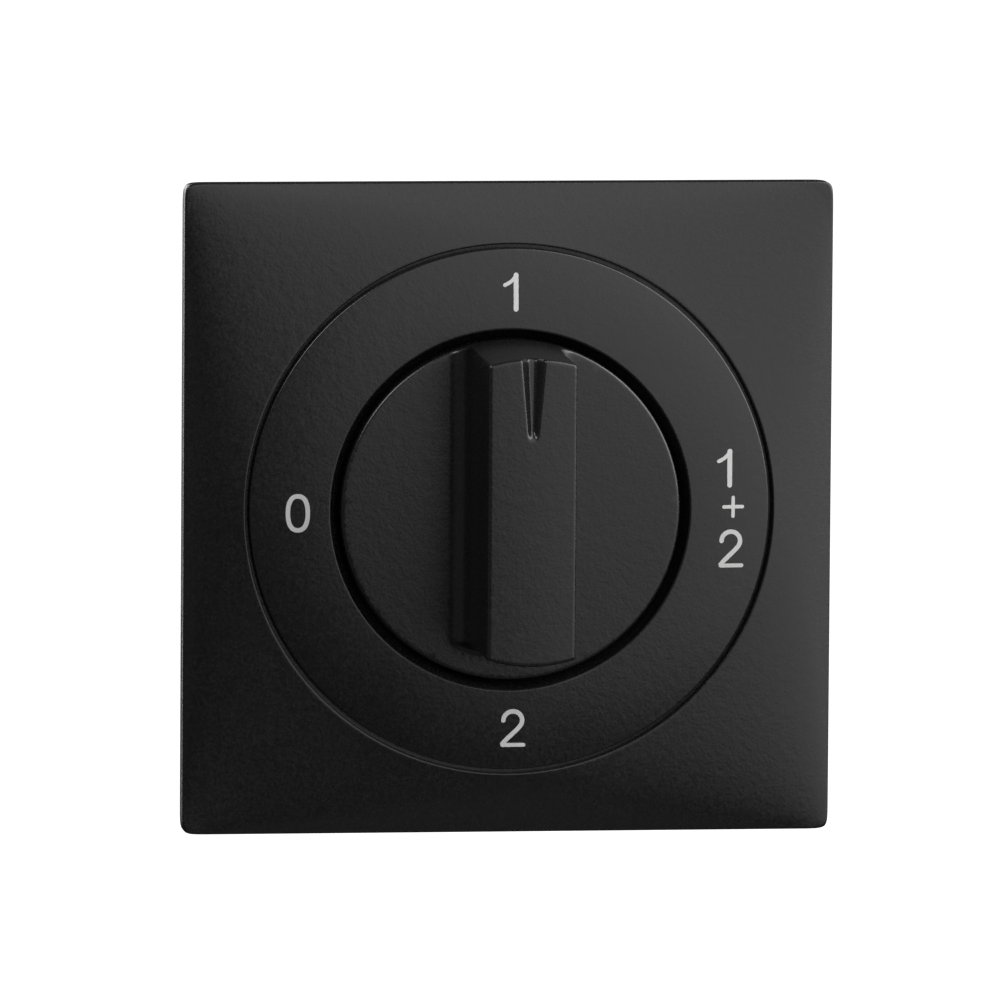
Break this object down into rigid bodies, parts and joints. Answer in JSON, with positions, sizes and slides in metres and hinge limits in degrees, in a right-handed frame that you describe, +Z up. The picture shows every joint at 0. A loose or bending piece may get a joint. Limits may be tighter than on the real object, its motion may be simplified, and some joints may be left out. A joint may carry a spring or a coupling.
{
  "type": "rotary battery selector switch",
  "caption": "Flush-mounted rotary battery selector: a square black trim frame, a round numbered dial, a finger-grip knob, and a round switch body with threaded terminals behind the panel.",
  "frame": {"origin": "on the knob's axis, in the plane of the panel's front surface", "axes": "+Y into the panel along the knob's axis, +Z up the dial towards position 1, +X towards position 1+2 on the right"},
  "size_m": [0.088, 0.0901, 0.088],
  "materials": {
    "moulded_trim": "fine grained",
    "moulded_knob": "fine grained",
    "numeral_paint": "matt light grey",
    "zinc_plate": "zinc plated",
    "seal_rubber": "matt",
    "screw_steel": "bright zinc",
    "spring_steel": "drawn",
    "spindle_steel": "turned",
    "bush_brass": "turned",
    "white_nylon": "moulded",
    "housing_resin": "glass filled, moulded",
    "carrier_resin": "moulded",
    "contact_copper": "bare copper, brushed",
    "contact_silver": "silver alloy",
    "insulator_board": "laminate",
    "tinned_stud": "tin plated",
    "nut_brass": "turned",
    "washer_steel": "stainless"
  },
  "bodies": {
    "switch_body": {"face_frame": "moulded_trim", "dial_ring": "moulded_trim", "dial_marks": "numeral_paint", "mounting_plate": "zinc_plate", "panel_gasket": "seal_rubber", "plate_screws": "screw_steel", "spindle_bush": "bush_brass", "front_housing": "housing_resin", "detent_springs": "spring_steel", "battery_1_contact": "contact_copper", "battery_2_contact": "contact_copper", "output_contact": "contact_copper", "off_insulator": "insulator_board", "body_seal": "seal_rubber", "rear_housing": "housing_resin", "housing_screws": "screw_steel", "battery_1_stud": "tinned_stud", "battery_2_stud": "tinned_stud", "output_stud": "tinned_stud", "base_nuts": "nut_brass", "flat_washers": "washer_steel", "lock_washers": "washer_steel", "terminal_nuts": "washer_steel"},
    "turning_knob": {"knob": "moulded_knob", "knob_clip": "spring_steel", "spindle": "spindle_steel", "spindle_seal": "seal_rubber", "spindle_clip": "spring_steel", "thrust_washer": "white_nylon", "detent_cam": "white_nylon", "contact_carrier": "carrier_resin", "contact_springs": "spring_steel"},
    "sprung_bridge": {"contact_bridge": "contact_copper", "bridge_tips": "contact_silver"}
  },
  "joints": [
    {"name": "knob_turn", "type": "hinge", "parent": "switch_body", "child": "turning_knob", "pos_m": [0, 0, 0], "axis": [0, 1, 0], "continuous": true, "deforming": ["detent_springs"]},
    {"name": "bridge_float", "type": "slide", "parent": "turning_knob", "child": "sprung_bridge", "axis": [0, -1, 0], "range_m": [0, 0.00045], "stiffness_N_per_m": 9000, "springref_m": -0.0025, "deforming": ["contact_springs"]}
  ]
}
